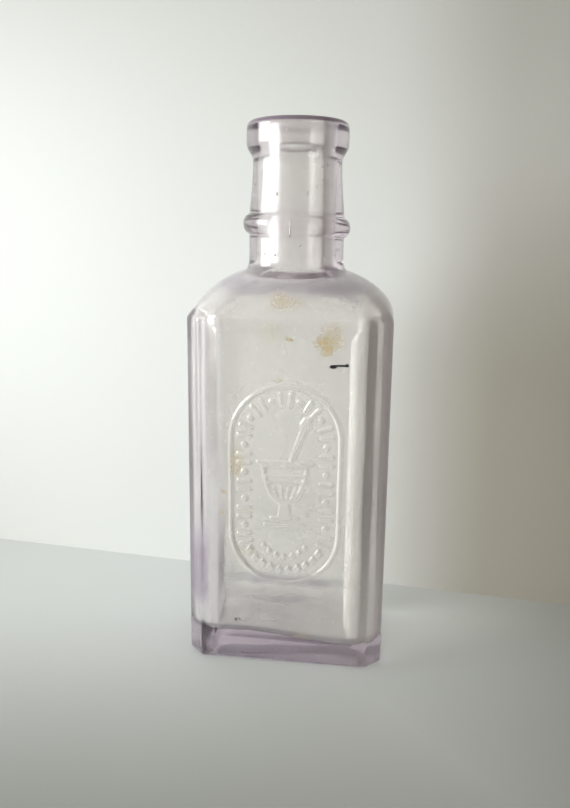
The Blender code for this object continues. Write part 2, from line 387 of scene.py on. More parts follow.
def to_bar(x, z, start, end, thick_start, thick_end):
    """Distance to a round-ended bar: distance to the nearest point of its line, less a
    thickness that changes evenly from one end to the other."""
    run_x, run_z = end[0] - start[0], end[1] - start[1]
    share = ((x - start[0]) * run_x + (z - start[1]) * run_z) / (run_x**2 + run_z**2)
    share = np.clip(share, 0.0, 1.0)
    gap = np.hypot(x - start[0] - share * run_x, z - start[1] - share * run_z)
    return gap - (thick_start + (thick_end - thick_start) * share)


def to_lozenge(x, z, centre, half_x, half_z):
    """Distance to a lozenge, near enough: how far the sum of the two shares passes one."""
    reach = np.abs(x - centre[0]) / half_x + np.abs(z - centre[1]) / half_z
    return (reach - 1.0) * half_x * half_z / math.hypot(half_x, half_z)


def raised(distance, height, softness):
    """Height of a moulded shape: full inside its edge, and a soft step down across it."""
    return height * smooth_step(0.5 - distance / softness)


# %% Follow the long ring
RING_OUT = 13.45 * MM  # half the width of the ring
RING_LOW_Z = 20.6 * MM
RING_HIGH_Z = 70.4 * MM
RING_LINE = 0.45 * MM  # half the width of its raised line


def on_stadium(share, inset):
    """Point and outward direction at a share of the way round the ring, moved in by the inset.

    The way starts in the middle of the left side and goes up: half a side, a half circle, a
    side, a half circle, half a side."""
    half = RING_OUT - inset
    top, low = RING_HIGH_Z - RING_OUT, RING_LOW_Z + RING_OUT
    legs = [(top - low) / 2, math.pi * half, top - low, math.pi * half, (top - low) / 2]
    travel = share * sum(legs)
    leg = 0
    while travel > legs[leg] and leg < 4:
        travel -= legs[leg]
        leg += 1
    if leg in (1, 3):
        turn = math.pi - travel / half if leg == 1 else -travel / half
        middle = top if leg == 1 else low
        out = (math.cos(turn), math.sin(turn))
        return (half * out[0], middle + half * out[1]), out
    if leg == 2:
        return (half, top - travel), (1.0, 0.0)
    return (-half, (top + low) / 2 + travel if leg == 0 else low + travel), (-1.0, 0.0)


# %% Draw the border and the mortar
BORDER_MARKS = 48
BORDER_INSET = 3.7 * MM
INNER_ROW_RADIUS = 6.2 * MM


def border(x, z):
    """Two bars and a bead by turns along the ring inside it, and two rows of lozenges in its
    lower bend."""
    nearest = np.full_like(x, 1.0)
    for k in range(BORDER_MARKS):
        point, out = on_stadium((k + 0.5) / BORDER_MARKS, BORDER_INSET)
        if point[1] < RING_LOW_Z + 10.0 * MM:
            nearest = np.minimum(nearest, to_lozenge(x, z, point, 1.0 * MM, 1.35 * MM))
        elif k % 3 == 1:
            nearest = np.minimum(nearest, np.hypot(x - point[0], z - point[1]) - 0.75 * MM)
        else:
            a, b = ((point[0] + d * MM * out[0], point[1] + d * MM * out[1]) for d in (-1.35, 1.35))
            nearest = np.minimum(nearest, to_bar(x, z, a, b, 0.4 * MM, 0.55 * MM))
    for k in range(7):
        turn = math.radians(-90.0 + 18.0 * (k - 3))
        point = (INNER_ROW_RADIUS * math.cos(turn),
                 RING_LOW_Z + RING_OUT + INNER_ROW_RADIUS * math.sin(turn))
        nearest = np.minimum(nearest, to_lozenge(x, z, point, 0.7 * MM, 0.9 * MM))
    return nearest


def mortar_and_pestle(x, z):
    """A footed bowl drawn in line, banded, with a pestle leaning out of it."""
    rim_z = 51.0 * MM
    line = 0.42 * MM
    bowl_half, bowl_deep = 5.6 * MM, 10.0 * MM
    bowl = np.hypot(x / bowl_half, np.minimum(z - rim_z, 0.0) / bowl_deep) - 1.0
    bowl = np.maximum(bowl * bowl_half, z - rim_z)
    bowl_line = np.abs(bowl + line) - line
    bands = np.minimum.reduce([np.abs(z - level * MM) - 0.28 * MM for level in (46.6, 48.3)])
    bands = np.maximum(bands, bowl)
    flutes = np.minimum.reduce([
        to_bar(x, z, (d * MM, 45.3 * MM), (0.62 * d * MM, 42.6 * MM), 0.3 * MM, 0.3 * MM)
        for d in (-2.7, -0.9, 0.9, 2.7)
    ])
    rims = [to_bar(x, z, (-half * MM, level * MM), (half * MM, level * MM), 0.5 * MM, 0.5 * MM)
            for half, level in ((6.4, 51.4), (3.1, 37.6), (4.6, 35.9))]
    stem = to_bar(x, z, (0.0, 40.4 * MM), (0.0, 38.4 * MM), 1.3 * MM, 1.6 * MM)
    pestle = to_bar(x, z, (1.6 * MM, 52.4 * MM), (4.6 * MM, 60.3 * MM), 0.55 * MM, 0.8 * MM)
    knob = to_bar(x, z, (4.75 * MM, 60.8 * MM), (5.1 * MM, 61.7 * MM), 1.35 * MM, 1.1 * MM)
    return np.minimum.reduce([bowl_line, bands, flutes, *rims, stem, pestle, knob])


def ornament(x, z):
    """Height of all the raised work over the panel's floor, at each (x, z)."""
    stadium = to_stadium(x, z, RING_OUT, RING_LOW_Z, RING_HIGH_Z)
    ring = np.abs(stadium + RING_LINE) - RING_LINE
    return np.maximum.reduce([
        raised(ring, 0.55 * MM, 0.5 * MM),
        raised(border(x, z), 0.5 * MM, 0.5 * MM),
        raised(mortar_and_pestle(x, z), 0.6 * MM, 0.55 * MM),
    ])


# %% Press the panel into the front
def panel_depth(x, z):
    """Depth of the sunk panel: a ramp in from each side, the least of them, at most the sink."""
    side = (PANEL_MOUTH - np.abs(x)) / (PANEL_MOUTH - PANEL_FLOOR)
    foot = (z - PANEL_LOW[0]) / (PANEL_LOW[1] - PANEL_LOW[0])
    head = (PANEL_HIGH[1] - z) / (PANEL_HIGH[1] - PANEL_HIGH[0])
    return PANEL_SINK * np.clip(np.minimum.reduce([side, foot, head]), 0.0, 1.0)


on_face = ON_FRONT[None, :] & ((out_z < SHOULDER_Z) & (out_z > HEEL))[:, None]
front_height = ornament(outside_x, outside_z) - panel_depth(outside_x, outside_z)
outside_y -= np.where(on_face, front_height, 0.0)
print("deepest and highest point of the panel, mm:",
      [round(float(v) / MM, 2) for v in (front_height[on_face].min(), front_height[on_face].max())])

# %% [markdown]
# ## The inside of the wall
#
# The inside was shaped by breath, not by the mould. Its corners are round, its floor is thick
# and slopes to one side, and nothing is quite even. It is a second set of rows that starts at
# the mouth and runs down to the middle of the floor, with slow waves added to its width.
#
# Under the shoulder the inside is the outside's own curve, moved in by the wall: glass that thins
# or thickens there is a lens, and shows as a dark wing.

# %% Two ways to draw a curve
WALL = 2.8 * MM
BORE = 6.2 * MM
BORE_FOOT_Z = 99.5 * MM
FLOOR_Z = 4.9 * MM
INNER_HEEL = 3.2 * MM
INNER_CUT = 4.0 * MM
INNER_EDGE = 5.0 * MM
LIP_INNER_ROUND = 1.4 * MM


def moved_in(across, up):
    """A profile that climbs inwards, moved into the glass along its own normal by the wall."""
    run, rise = np.gradient(across), np.gradient(up)
    length = np.hypot(run, rise)
    return across - WALL * rise / length, up + WALL * run / length


def curve(points, share):
    """A Bezier curve of any number of control points, by repeated straight blending."""
    layers = [np.array(p)[None, :] * np.ones((share.size, 1)) for p in points]
    s = share[:, None]
    while len(layers) > 1:
        layers = [a + (b - a) * s for a, b in zip(layers, layers[1:])]
    return layers[0]


# %% From the mouth to the vault under the shoulder
mouth_turn = np.linspace(0.0, math.pi / 2, 8)
mouth_z = HEIGHT - LIP_INNER_ROUND * (1 - np.cos(mouth_turn))
mouth_r = BORE + LIP_INNER_ROUND * (1 - np.sin(mouth_turn))
bore_z = np.linspace(mouth_z[-1] - 1.0 * MM, BORE_FOOT_Z + 0.8 * MM, 18)
bore_r = np.full_like(bore_z, BORE)

wide_x, wide_z = moved_in(shoulder[:, 0], shoulder[:, 1])
deep_y, deep_z = moved_in(shoulder_y, shoulder[:, 1])
top_in = np.array([wide_x[-1], wide_z[-1]])
FUNNEL_STEEP = 2.6 * MM  # how far the funnel holds to the bore
FUNNEL_EASE = (-3.0 * MM, 1.05 * MM)  # how far it holds to the vault's slope
funnel = curve(
    [(BORE, BORE_FOOT_Z), (BORE, top_in[1] + FUNNEL_STEEP), top_in + FUNNEL_EASE, top_in],
    np.linspace(0.0, 1.0, 16),
)
vault_z = wide_z[::-1][1:]
vault_x = wide_x[::-1][1:]
vault_y = np.interp(vault_z, deep_z, deep_y)
funnel_y = BORE + (vault_y[0] - BORE) * (funnel[:, 0] - BORE) / (top_in[0] - BORE)
inner_x = np.concatenate([funnel[:, 0], vault_x])
inner_y = np.concatenate([funnel_y, vault_y])
inner_z = np.concatenate([funnel[:, 1], vault_z])
inner_round = np.concatenate([np.ones(funnel_y.size), smooth_step(shoulder_share[::-1][1:])])
print("rows from the bore to the top of the side:", inner_z.size)

# %% Down the side and over the floor
in_half_x = HALF_WIDTH - WALL
in_half_y = HALF_DEPTH - WALL
upright_z = np.linspace(vault_z[-1] - 1.5 * MM, FLOOR_Z + INNER_HEEL + 1.5 * MM, 34)
inner_turn = np.linspace(0.0, math.pi / 2, 12)
inner_heel_in = INNER_HEEL * (1 - np.cos(inner_turn))
floor_share = np.linspace(1.0, 0.0, 11)[1:-1]
in_x = np.concatenate([mouth_r, bore_r, inner_x, np.full(upright_z.size, in_half_x),
                       in_half_x - inner_heel_in, (in_half_x - INNER_HEEL) * floor_share])
in_y = np.concatenate([mouth_r, bore_r, inner_y, np.full(upright_z.size, in_half_y),
                       in_half_y - inner_heel_in, (in_half_y - INNER_HEEL) * floor_share])
in_z = np.concatenate([mouth_z, bore_z, inner_z, upright_z,
                       FLOOR_Z + INNER_HEEL * (1 - np.sin(inner_turn)),
                       np.full(floor_share.size, FLOOR_Z)])
in_round = np.concatenate([np.ones(mouth_r.size + bore_r.size), inner_round,
                           np.zeros(upright_z.size + inner_turn.size + floor_share.size)])
in_cut = INNER_CUT * np.minimum(1.0, in_y / in_half_y)
in_edge = INNER_EDGE * np.minimum(1.0, in_y / in_half_y)
inside_x, inside_y = rows_in_plan(in_x, in_y, in_cut, in_edge, in_round)
inside_z = np.broadcast_to(in_z[:, None], inside_x.shape).copy()

# %% Wave the floor
WAVE_HEIGHT = 0.9 * MM
WAVE_CREST_X = -11.0 * MM
WAVE_REACH = 27.0 * MM  # from crest to trough
WAVE_FADE = 8.0 * MM  # the wave has faded out this far above the floor
near_floor = smooth_step((FLOOR_Z + WAVE_FADE - inside_z) / WAVE_FADE)
inside_z += WAVE_HEIGHT * np.cos((inside_x - WAVE_CREST_X) / WAVE_REACH * math.pi) * near_floor
print("rows on the inside:", in_z.size)


# %% Let the inside wander
def slow_waves(x, y, z):
    """Uneven blowing: a few slow sine waves in different directions, added up."""
    return (
        0.12 * MM * np.sin(x * 120.0 + z * 75.0 + 0.7)
        + 0.09 * MM * np.sin(z * 140.0 - y * 90.0 + 2.1)
        + 0.03 * MM * np.sin(x * 260.0 - z * 190.0 + 4.0)
    )


body_share = smooth_step((NECK_FOOT_Z - inside_z) / (12.0 * MM))
swell = 1.0 - slow_waves(inside_x, inside_y, inside_z) * body_share / HALF_DEPTH
inside_x *= swell
inside_y *= swell
print("the inside wanders by up to", round(float(np.abs(swell - 1.0).max()) * HALF_WIDTH / MM, 2), "mm")

# %% [markdown]
# ## From rows to a mesh
#
# Outside rows and inside rows follow each other, so the wall turns over at the mouth and is one
# closed skin. Every quad joins a row to the next one, and two extra points, the poles, close the
# base and the floor.


# %% Faces and objects
def skin_faces(rows, count):
    """Faces of a closed skin of so many rows by columns: quads between neighbouring rows,
    wrapped round the columns, and a fan to a pole at each end. The poles come after the rows."""
    row, col = np.meshgrid(np.arange(rows - 1), np.arange(count), indexing="ij")
    after = (col + 1) % count
    quads = np.stack([row * count + col, row * count + after,
                      (row + 1) * count + after, (row + 1) * count + col], axis=-1).reshape(-1, 4)
    ring = np.arange(count)
    ring_after = (ring + 1) % count
    last = (rows - 1) * count
    start_fan = np.stack([np.full(count, rows * count), ring_after, ring], axis=1)
    end_fan = np.stack([last + ring, last + ring_after, np.full(count, rows * count + 1)], axis=1)
    return quads.tolist() + start_fan.tolist() + end_fan.tolist()


def new_object(name, points, faces, smooth=True):
    """A mesh object of these points and faces, put in the scene."""
    mesh = bpy.data.meshes.new(name)
    mesh.from_pydata(points, [], faces)
    mesh.polygons.foreach_set("use_smooth", np.full(len(faces), smooth))
    mesh.update()
    thing = bpy.data.objects.new(name, mesh)
    bpy.context.scene.collection.objects.link(thing)
    return thing


# %% Build the closed wall
wall_x = np.vstack([outside_x, inside_x])
wall_y = np.vstack([outside_y, inside_y])
wall_z = np.vstack([outside_z, inside_z])
poles = [[0.0, 0.0, wall_z[0].mean()], [0.0, 0.0, wall_z[-1].mean()]]
wall_points = np.vstack([np.stack([wall_x.ravel(), wall_y.ravel(), wall_z.ravel()], axis=1), poles])
wall = new_object("glass_wall", wall_points.tolist(), skin_faces(*wall_x.shape))
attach(wall, "root")
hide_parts("vessel", "neck_ring", "lip")
wall.data.calc_loop_triangles()
print("triangles in the wall:", len(wall.data.loop_triangles))

# %% [markdown]
# ## Numbers on the points of the wall
#
# Three numbers on every point tell the material where on the form it is. "inside" tells the two
# skins of the wall apart. The second number is painted shade: it is large under the neck, round
# the rim, at the foot, and in the lower left corner of the inside, where the glass is coloured
# dark; at the rim and the foot it also stands for the deeper tint of thick glass. "edge" marks
# the slopes of the raised work, which the mould left slightly rough.


# %% Store numbers
def paint(name, rows_outside, rows_inside):
    """Store one number per point under a name, so that the material can read it."""
    at_poles = [rows_outside[0].mean(), rows_inside[-1].mean()]
    values = np.concatenate([rows_outside.ravel(), rows_inside.ravel(), at_poles])
    wall.data.attributes.new(name, "FLOAT", "POINT").data.foreach_set("value", values)


paint("inside", np.zeros_like(outside_x), np.ones_like(inside_x))
print("points outside and inside:", outside_x.size, inside_x.size)


# %% Mark where shade is painted into the glass
def under_neck(share):
    """A hump over the upper part of the shoulder: one less the square of the way from its top."""
    return 0.8 * np.clip(1.0 - ((share - 0.80) / 0.20) ** 2, 0.0, 1.0)


def rising(value, start, length):
    """0 below the start, 1 a length above it, and a smooth step between."""
    return smooth_step((value - start) / length)


# painted shade: the glass is coloured dark under the neck, round the rim and at the foot, more at the left
# end of the foot
neck_out = np.zeros(out_z.size)
neck_out[shoulder_rows] = under_neck(shoulder_share)
rim_out = 2.0 * rising(out_z, HEIGHT - 1.6 * MM, 0.8 * MM) * (out_x > LIP_RADIUS - 1.6 * MM)
foot_out = 0.8 * rising(-out_z, -4.0 * MM, 3.0 * MM)
foot_lean = 1.0 - 0.6 * outside_x / HALF_WIDTH  # more at the left end
shade_and_tint_out = (neck_out + rim_out)[:, None] + foot_out[:, None] * foot_lean

# painted shade on the inside: under the neck, and down the left front corner, strongest low down
below_vault = upright_z.size + inner_turn.size + floor_share.size
neck_in = np.zeros(in_z.size)
neck_in[mouth_r.size + bore_r.size + funnel_y.size:-below_vault] = under_neck(shoulder_share[::-1][1:])
left_front = rising(-inside_x, 17.5 * MM, 2.5 * MM) * (inside_y < 0.0) * body_share
low_left_shade = rising(-inside_z, -40.0 * MM, 15.0 * MM) * rising(inside_z, 7.0 * MM, 9.0 * MM)
shade_and_tint_in = neck_in[:, None] + left_front * (0.35 + 1.25 * low_left_shade)
paint("shade_and_tint", shade_and_tint_out, shade_and_tint_in)
print("deepest number outside and inside:", round(float(shade_and_tint_out.max()), 2), round(float(shade_and_tint_in.max()), 2))

# %% Mark the slopes of the raised work
STEEP = 0.16 * MM  # a climb of this much from point to point counts in full
raised_height = np.where(ON_FRONT[None, :], ornament(outside_x, outside_z), 0.0)
climb_z, climb_x = np.gradient(raised_height)
edge_out = np.clip(np.hypot(climb_z, climb_x) / STEEP, 0.0, 1.0)
paint("edge", edge_out, np.zeros_like(inside_x))
print("share of points on a raised edge:", round(float((edge_out > 0.5).mean()), 3))

# %% [markdown]
# ## Glass
#
# Clear glass is a surface that bends and mirrors light and a body that swallows a little of it.
# A Principled shader with transmission does the first. A Volume Absorption shader does the
# second: it takes more where the glass is thicker, so the base and the edges come out deeper
# than the thin walls. Used glass is never quite clean, so a thin pale film, called the cover
# below, takes part of the transmission.
#
# A material is a graph of small nodes. The class here holds one graph, with a short method for
# each kind of node, so that a pattern reads as one line of sums.


# %% A material being made
class Recipe:
    """One node material. Its methods add a node each and hand back the node's output."""

    def __init__(self, name):
        self.material = bpy.data.materials.new(name)
        self.material.use_nodes = True
        self.tree = self.material.node_tree
        self.tree.nodes.clear()

    def add(self, kind, **values):
        """A new node. A value named like one of its settings goes there, and any other value
        goes to the input of that name."""
        node = self.tree.nodes.new(kind)
        for key, value in values.items():
            if hasattr(node, key):
                setattr(node, key, value)
            else:
                node.inputs[key.replace("_", " ")].default_value = value
        return node

    def feed(self, value, socket):
        """Set a number or a colour on an input, or join an output to it."""
        if isinstance(value, (int, float, tuple)):
            socket.default_value = value
        else:
            self.tree.links.new(value, socket)

    def place(self):
        """Where a point is on the bottle, in metres."""
        return self.add("ShaderNodeTexCoord").outputs["Object"]

    def parts(self, vector):
        """The three outputs X, Y and Z of a vector."""
        node = self.add("ShaderNodeSeparateXYZ")
        self.feed(vector, node.inputs[0])
        return node.outputs

    def painted(self, name):
        """A number stored on the points."""
        return self.add("ShaderNodeAttribute", attribute_name=name).outputs["Fac"]

    def reckon(self, operation, values, clamp=False):
        """The values joined two at a time by a sum, a product or a difference."""
        result, *rest = values
        for value in rest:
            node = self.add("ShaderNodeMath", operation=operation)
            self.feed(result, node.inputs[0])
            self.feed(value, node.inputs[1])
            result = node.outputs[0]
        node.use_clamp = clamp
        return result

    def plus(self, *values, clamp=False):
        return self.reckon("ADD", values, clamp)

    def times(self, *values, clamp=False):
        return self.reckon("MULTIPLY", values, clamp)

    def rest_of_one(self, value, clamp=False):
        return self.reckon("SUBTRACT", (1.0, value), clamp)

    def stretch(self, value, low, high, to_low, to_high):
        """Carry the range low to high onto another range, with level ends."""
        node = self.add("ShaderNodeMapRange", interpolation_type="SMOOTHSTEP")
        self.feed(value, node.inputs["Value"])
        limits = {"From Min": low, "From Max": high, "To Min": to_low, "To Max": to_high}
        for name, number in limits.items():
            self.feed(number, node.inputs[name])
        return node.outputs["Result"]

    def noise(self, vector, scale, detail=2.0):
        """Cloudy noise: about so many clouds to a metre."""
        node = self.add("ShaderNodeTexNoise", Scale=scale, Detail=detail)
        self.feed(vector, node.inputs["Vector"])
        return node.outputs

    def over(self, colour, share, under):
        """One colour laid over another by a share."""
        node = self.add("ShaderNodeMix", data_type="RGBA")
        self.feed(share, node.inputs[0])
        self.feed(under, node.inputs[6])
        self.feed(colour, node.inputs[7])
        return node.outputs[2]

    def moved(self, operation, vector, by):
        """A vector less, or divided by, three fixed numbers."""
        node = self.add("ShaderNodeVectorMath", operation=operation)
        self.feed(vector, node.inputs[0])
        self.feed(by, node.inputs[1])
        return node.outputs[0]

    def patches(self, vector, rows, softness):
        """The sum of soft-edged ellipsoids, each 1 inside and 0 outside, times its strength."""
        total = 0.0
        for x, z, half_x, half_z, strength in rows:
            away = self.moved("SUBTRACT", vector, (x * MM, FRONT_Y * MM, z * MM))
            scaled = self.moved("DIVIDE", away, (half_x * MM, STAIN_DEPTH * MM, half_z * MM))
            far = self.add("ShaderNodeVectorMath", operation="LENGTH")
            self.feed(scaled, far.inputs[0])
            one = self.stretch(far.outputs["Value"], 1.0 - softness, 1.0 + softness, 1.0, 0.0)
            total = self.plus(self.times(one, strength), total)
        return total

    def finish(self, surface, volume=None):
        """Join the shaders to the material's output, and hand back the material."""
        out = self.add("ShaderNodeOutputMaterial")
        self.feed(surface, out.inputs["Surface"])
        if volume is not None:
            self.feed(volume, out.inputs["Volume"])
        return self.material


# %% [markdown]
# ## Stains and painted shade
#
# The last liquid dried into brown crumbs inside the front wall. Grey bands of painted shade lie
# across the glass near the foot and up its left side. A short stroke of dark ink is on the outside.
# Each stain or band is a row of numbers: where it is, how big, and how strong. All lie in the front
# wall, so one depth serves.

# %% Stains and painted shade bands, in millimetres
FRONT_Y = -14.8  # between the two faces of the front wall
STAIN_DEPTH = 4.0
RESIDUE = (  # across, up, half width, half height, strength
    (9.9, 81.2, 2.6, 2.9, 0.9), (7.6, 80.2, 1.6, 1.2, 0.7), (8.9, 77.9, 1.5, 1.3, 0.9),
    (0.3, 80.7, 0.6, 0.6, 1.6), (-3.9, 82.0, 2.8, 2.4, 0.3), (-1.8, 89.2, 2.4, 1.7, 0.7),
    (2.2, 88.9, 1.8, 1.1, 0.4), (-12.2, 50.6, 1.5, 3.6, 0.7), (-15.4, 43.3, 0.5, 0.5, 1.2),
    (-15.4, 37.4, 0.5, 0.5, 1.2), (-8.6, 37.9, 0.4, 0.4, 1.0), (-2.0, 70.8, 1.0, 0.7, 0.5),
    (4.2, 5.3, 2.3, 1.0, 0.8), (-1.0, 97.4, 5.0, 0.7, 0.5), (-9.8, 28.4, 2.5, 1.5, 0.3),
)
# painted shade: grey bands across the glass near the foot and up its left side
SHADE_BANDS = (  # and the rest in the same order
    (-20.2, 20.0, 1.2, 11.0, 0.8), (-16.9, 25.0, 1.3, 28.0, 0.35), (1.0, 21.2, 12.5, 1.3, 0.9),
    (0.5, 16.0, 7.5, 0.9, 0.8), (5.0, 12.0, 9.0, 1.5, 0.25),
)
INK = ((10.8, 74.75, 0.95, 0.50, 1.0), (12.6, 75.05, 1.7, 0.26, 1.0), (13.9, 75.15, 0.45, 0.42, 1.0))
SPECKS = ((-12.1, 9.7, 0.34, 0.42, 1.0), (-11.2, 9.8, 0.26, 0.36, 0.8))
print("stains:", len(RESIDUE), "of residue,", len(SHADE_BANDS), "veils,", len(SPECKS), "specks")

# %% [markdown]
# ## Clear glass with a trace of amethyst
#
# Glass of this age was cleared with manganese, and years of sunlight turn it faintly violet. The
# colour sits in the body, so it is given to the volume. Painted shade and stains are laid over it
# on the skin, and there the cover goes up and the glass lets less through. The inside is a little rougher.
#
# Real glass bends a lamp's light into bright patches that take very long to work out. Here a ray
# that only asks whether a lamp is hidden meets a plain see-through skin: a pale, soft shadow.

# %% Colours of the glass
CLEAR = (0.98, 0.975, 0.95, 1.0)
# painted shade: the two dark glass colours laid where the painted shade number is large
SHADE_AND_THICK_TINT = (0.56, 0.52, 0.59, 1.0)
DARKEST_SHADE_AND_TINT = (0.24, 0.19, 0.25, 1.0)
SHADE_BAND_GREY = (0.50, 0.48, 0.56, 1.0)
RESIDUE_BROWN = (0.80, 0.62, 0.26, 1.0)
SPECK_BROWN = (0.10, 0.07, 0.05, 1.0)
INK_BLACK = (0.02, 0.02, 0.03, 1.0)
SHADOW_TINT = (0.87, 0.87, 0.85, 1.0)
BODY_TINT = (0.79, 0.735, 0.79, 1.0)
RAGGED = 2.6 * MM  # how far the edge of a stain wanders


# %% Clear amethyst glass
def clear_glass():
    """The wall's material, from where a point is and the three numbers stored on it."""
    glass = Recipe("clear_glass")
    place = glass.place()
    x, _, z = glass.parts(place)
    inside, shade_and_tint, edge = (glass.painted(name) for name in ("inside", "shade_and_tint", "edge"))
    outside = glass.rest_of_one(inside)

    # stains and painted shade bands: where they lie, with ragged edges for the dried stains and the bands
    ragged = glass.add("ShaderNodeVectorMath", operation="MULTIPLY_ADD")
    glass.feed(glass.noise(place, 260.0, 5.0)["Color"], ragged.inputs[0])
    glass.feed((RAGGED,) * 3, ragged.inputs[1])
    glass.feed(glass.moved("SUBTRACT", place, (RAGGED / 2,) * 3), ragged.inputs[2])
    crumbs = glass.stretch(glass.noise(place, 2200.0, 3.0)["Fac"], 0.36, 0.60, 0.35, 1.0)
    residue = glass.times(glass.patches(ragged.outputs[0], RESIDUE, 0.75), crumbs, inside, clamp=True)
    # painted shade: the grey bands, on the inside
    shade_bands = glass.times(glass.patches(ragged.outputs[0], SHADE_BANDS, 0.6), inside, clamp=True)
    ink = glass.times(glass.patches(place, INK, 0.25), outside, clamp=True)
    specks = glass.times(glass.patches(place, SPECKS, 0.3), inside, clamp=True)

    # colour: clear, then painted shade in two steps, then the painted shade bands, then the stains on top
    uneven = glass.stretch(glass.noise(place, 130.0, 3.0)["Fac"], 0.3, 0.7, 0.55, 1.0)
    deeper = glass.times(shade_and_tint, uneven, clamp=True)
    deepest = glass.stretch(shade_and_tint, 1.1, 1.9, 0.0, 1.0)
    colour = glass.over(SHADE_AND_THICK_TINT, deeper, CLEAR)
    colour = glass.over(DARKEST_SHADE_AND_TINT, deepest, colour)
    colour = glass.over(SHADE_BAND_GREY, glass.times(shade_bands, uneven), colour)
    colour = glass.over(RESIDUE_BROWN, residue, colour)
    colour = glass.over(SPECK_BROWN, specks, colour)
    colour = glass.over(INK_BLACK, ink, colour)

    # cover: film on the inside, more of it in the right-hand corners, dust all over, and more on painted
    # shade and stains
    film = glass.stretch(glass.noise(place, 45.0, 4.0)["Fac"], 0.25, 0.75, 0.18, 0.32)
    in_corners = glass.stretch(x, 15.5 * MM, 18.8 * MM, 0.0, 0.46)
    dust = glass.stretch(glass.noise(place, 1100.0)["Fac"], 0.66, 0.74, 0.0, 0.10)
    cover = glass.plus(
        glass.times(glass.plus(film, in_corners), inside),
        glass.times(edge, 0.28),
        glass.times(deeper, 0.10),
        glass.times(deepest, 0.65),
        glass.times(glass.plus(residue, shade_bands), 0.25),
        glass.times(glass.plus(ink, specks), 0.9),
        dust,
        0.025,
    )

    # roughness: uneven outside, more on the tooled neck, on the inside and on the stains
    rough = glass.plus(
        glass.stretch(glass.noise(place, 90.0, 3.0)["Fac"], 0.3, 0.7, 0.03, 0.09),
        glass.stretch(z, 94.0 * MM, 100.0 * MM, 0.0, 0.07),
        glass.times(inside, 0.09),
        glass.times(glass.plus(residue, ink), 0.35),
        clamp=True,
    )

    # relief: slow waves all over, and level wrinkles that grow on the shoulder
    lines = glass.add("ShaderNodeMapping")
    glass.feed(place, lines.inputs["Vector"])
    glass.feed((45.0, 45.0, 700.0), lines.inputs["Scale"])
    on_shoulder = glass.stretch(z, 84.0 * MM, 90.0 * MM, 0.06, 0.30)
    wrinkles = glass.times(glass.noise(lines.outputs[0], 1.0)["Fac"], on_shoulder)
    bump = glass.add("ShaderNodeBump", Strength=0.25, Distance=0.0006)
    glass.feed(glass.plus(glass.noise(place, 70.0, 1.0)["Fac"], wrinkles), bump.inputs["Height"])

    surface = glass.add("ShaderNodeBsdfPrincipled", IOR=1.52)
    glass.feed(colour, surface.inputs["Base Color"])
    glass.feed(rough, surface.inputs["Roughness"])
    glass.feed(glass.rest_of_one(cover, clamp=True), surface.inputs["Transmission Weight"])
    glass.feed(bump.outputs["Normal"], surface.inputs["Normal"])
    see_through = glass.add("ShaderNodeBsdfTransparent", Color=SHADOW_TINT)
    both = glass.add("ShaderNodeMixShader")
    glass.feed(glass.add("ShaderNodeLightPath").outputs["Is Shadow Ray"], both.inputs["Fac"])
    glass.feed(surface.outputs["BSDF"], both.inputs[1])
    glass.feed(see_through.outputs["BSDF"], both.inputs[2])
    body = glass.add("ShaderNodeVolumeAbsorption", Density=85.0)
    glass.feed(BODY_TINT, body.inputs["Color"])
    return glass.finish(both.outputs["Shader"], body.outputs["Volume"])


wall.data.materials.append(clear_glass())

# %% [markdown]
# ## Seeds and a flaw
#
# Old glass holds seeds, small bubbles that never rose out of the melt, and pulling the neck draws
# them out. A bubble is air inside glass, so its surface bends light the other way: its index is
# one over that of the glass. The flaw in the ring is such a bubble drawn out thin.


# %% A ball for a seed
def ball(centre, half, sides=10, bands=7):
    """An ellipsoid, as points and faces: the rings between the bands of a sphere and its two
    poles, scaled to the half sizes and moved to the centre."""
    tilt = np.linspace(-math.pi / 2, math.pi / 2, bands + 1)[1:-1]
    turn = np.arange(sides) * 2 * math.pi / sides
    ring_x = np.outer(np.cos(tilt), np.cos(turn)).ravel()
    ring_y = np.outer(np.cos(tilt), np.sin(turn)).ravel()
    ring_z = np.repeat(np.sin(tilt), sides)
    points = np.column_stack([ring_x, ring_y, ring_z])
    points = np.vstack([points, [[0, 0, -1], [0, 0, 1]]]) * np.array(half) + np.array(centre)
    return points, skin_faces(bands - 1, sides)


def seeds_between(rng, count, radius, low_z, high_z):
    """Seeds scattered through a round wall: an even turn, height and radius for each."""
    turn = rng.uniform(0.0, 2 * math.pi, count)
    away = rng.uniform(*radius, count)
    size = rng.uniform(0.10, 0.26, count) * MM
    height = rng.uniform(low_z, high_z, count)
    places = np.column_stack([away * np.cos(turn), away * np.sin(turn), height])
    return [(place, (s, s, s * rng.uniform(1.0, 2.2))) for place, s in zip(places, size)]


# %% Seeds in the neck and the shoulder
rng = np.random.default_rng(5)
seeds = [  # two big ones low in the neck, and the long one in the ring
    ((-5.9 * MM, -7.2 * MM, 99.6 * MM), (0.38 * MM, 0.38 * MM, 0.42 * MM)),
    ((-3.6 * MM, -8.4 * MM, 99.4 * MM), (0.26 * MM, 0.26 * MM, 0.30 * MM)),
    ((-0.2 * MM, -11.2 * MM, 105.2 * MM), (0.22 * MM, 0.30 * MM, 1.75 * MM)),
]
seeds += seeds_between(rng, 26, (7.6 * MM, 9.6 * MM), 112.0 * MM, 120.5 * MM)
seeds += seeds_between(rng, 14, (8.0 * MM, 10.3 * MM), 98.5 * MM, 103.0 * MM)
seed_points, seed_faces, start = [], [], 0
for centre, half in seeds:
    points, faces = ball(centre, half)
    seed_points.append(points)
    seed_faces += [tuple(start + i for i in face) for face in faces]
    start += len(points)
seed_bubbles = new_object("seed_bubbles", np.vstack(seed_points).tolist(), seed_faces)
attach(seed_bubbles, "root")
print("seeds:", len(seeds))


